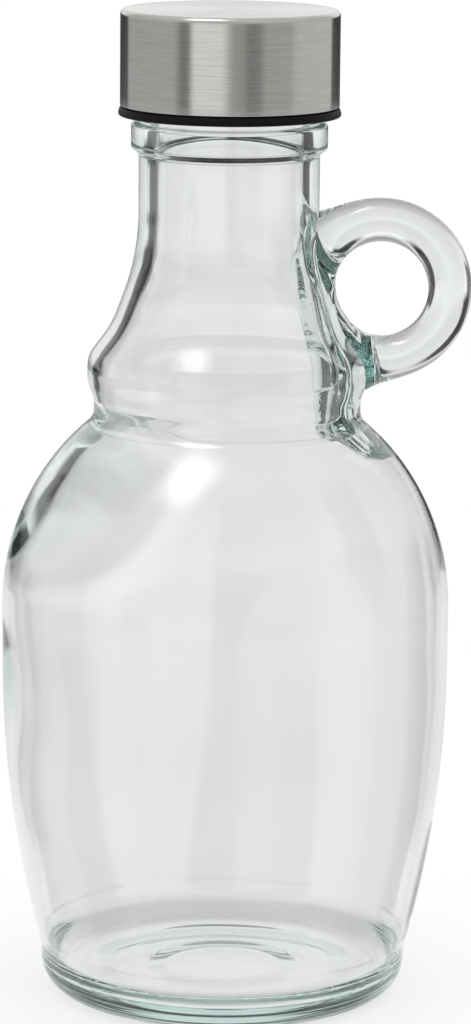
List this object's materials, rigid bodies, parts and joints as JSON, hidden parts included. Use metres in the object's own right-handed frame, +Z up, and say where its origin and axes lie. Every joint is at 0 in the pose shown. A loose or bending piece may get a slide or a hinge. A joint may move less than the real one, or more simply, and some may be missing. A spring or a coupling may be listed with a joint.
{
  "type": "glass jug",
  "caption": "Clear glass jug with a rounded body, a narrow neck, a solid glass ring handle and a steel-clad screw cap.",
  "frame": {"origin": "middle of the footprint of the whole part, on the plane it stands on; the jug's own axis is 1.7 mm to -X of it, because the ring handle reaches out to +X", "axes": "+Z up along the jug's axis, +X towards the ring handle, -Y towards the viewer's side of the handle's plane"},
  "size_m": [0.088, 0.0846, 0.1876],
  "materials": {
    "glass": "clear, faint green in the thick parts",
    "steel": "brushed round the side",
    "plastic": "satin black"
  },
  "bodies": {
    "root": {"glass_jug": "glass", "cap_shell": "steel", "cap_insert": "plastic"}
  },
  "joints": []
}
